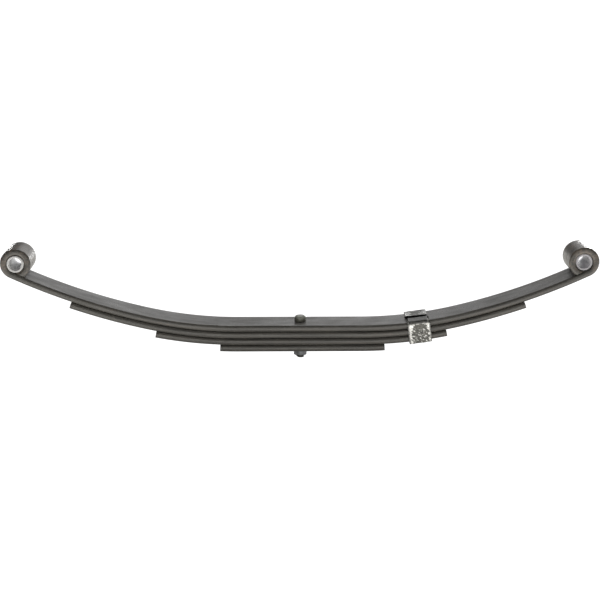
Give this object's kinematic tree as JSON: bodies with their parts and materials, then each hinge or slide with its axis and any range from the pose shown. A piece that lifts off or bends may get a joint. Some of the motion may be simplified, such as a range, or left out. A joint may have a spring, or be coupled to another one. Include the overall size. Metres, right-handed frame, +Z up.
{
  "type": "leaf spring",
  "caption": "Double-eye trailer leaf spring: stacked arched leaves on a centre bolt, with bushed upturned eyes and a rebound clip.",
  "frame": {"origin": "on the centre bolt's axis, at the underside of the fourth leaf, where the bottom of the stack is seated", "axes": "+X along the spring towards the eye nearer the rebound clip, +Y across the leaves, +Z up through the stack towards the bolt's head, the side the eyes rise to"},
  "size_m": [0.6756, 0.0492, 0.1319],
  "materials": {
    "leaf_paint": "semi-gloss black paint on spring steel, gritty, with chips",
    "bolt_steel": "dark olive-black oxide",
    "nut_steel": "dark phosphated",
    "clip_steel": "bare worn strap with remains of black paint",
    "rivet_steel": "dark, satin",
    "nylon": "natural white nylon, satin"
  },
  "bodies": {
    "centre_pack": {"main_leaf_centre": "leaf_paint", "second_leaf_centre": "leaf_paint", "third_leaf_centre": "leaf_paint", "fourth_leaf": "leaf_paint", "centre_bolt": "bolt_steel", "centre_nut": "nut_steel"},
    "left_arm": {"main_leaf_left": "leaf_paint", "second_leaf_left": "leaf_paint", "third_leaf_left": "leaf_paint"},
    "right_arm": {"main_leaf_right": "leaf_paint", "second_leaf_right": "leaf_paint", "third_leaf_right": "leaf_paint", "rebound_clip": "clip_steel", "clip_rivet": "rivet_steel"},
    "left_bushing": {"left_bushing": "nylon"},
    "right_bushing": {"right_bushing": "nylon"}
  },
  "joints": [
    {"name": "left_flex", "type": "hinge", "parent": "centre_pack", "child": "left_arm", "pos_m": [-0.10038, 0, 0.00868], "axis": [0, -1, 0], "range_deg": [-2, 10], "stiffness_Nm_per_rad": 4888},
    {"name": "right_flex", "type": "hinge", "parent": "centre_pack", "child": "right_arm", "pos_m": [0.10038, 0, 0.00868], "axis": [0, 1, 0], "range_deg": [-2, 10], "stiffness_Nm_per_rad": 4888},
    {"name": "left_bushing_turn", "type": "hinge", "parent": "left_arm", "child": "left_bushing", "pos_m": [-0.32067, 0, 0.10289], "axis": [0, 1, 0], "continuous": true},
    {"name": "right_bushing_turn", "type": "hinge", "parent": "right_arm", "child": "right_bushing", "pos_m": [0.32067, 0, 0.10289], "axis": [0, 1, 0], "continuous": true}
  ]
}
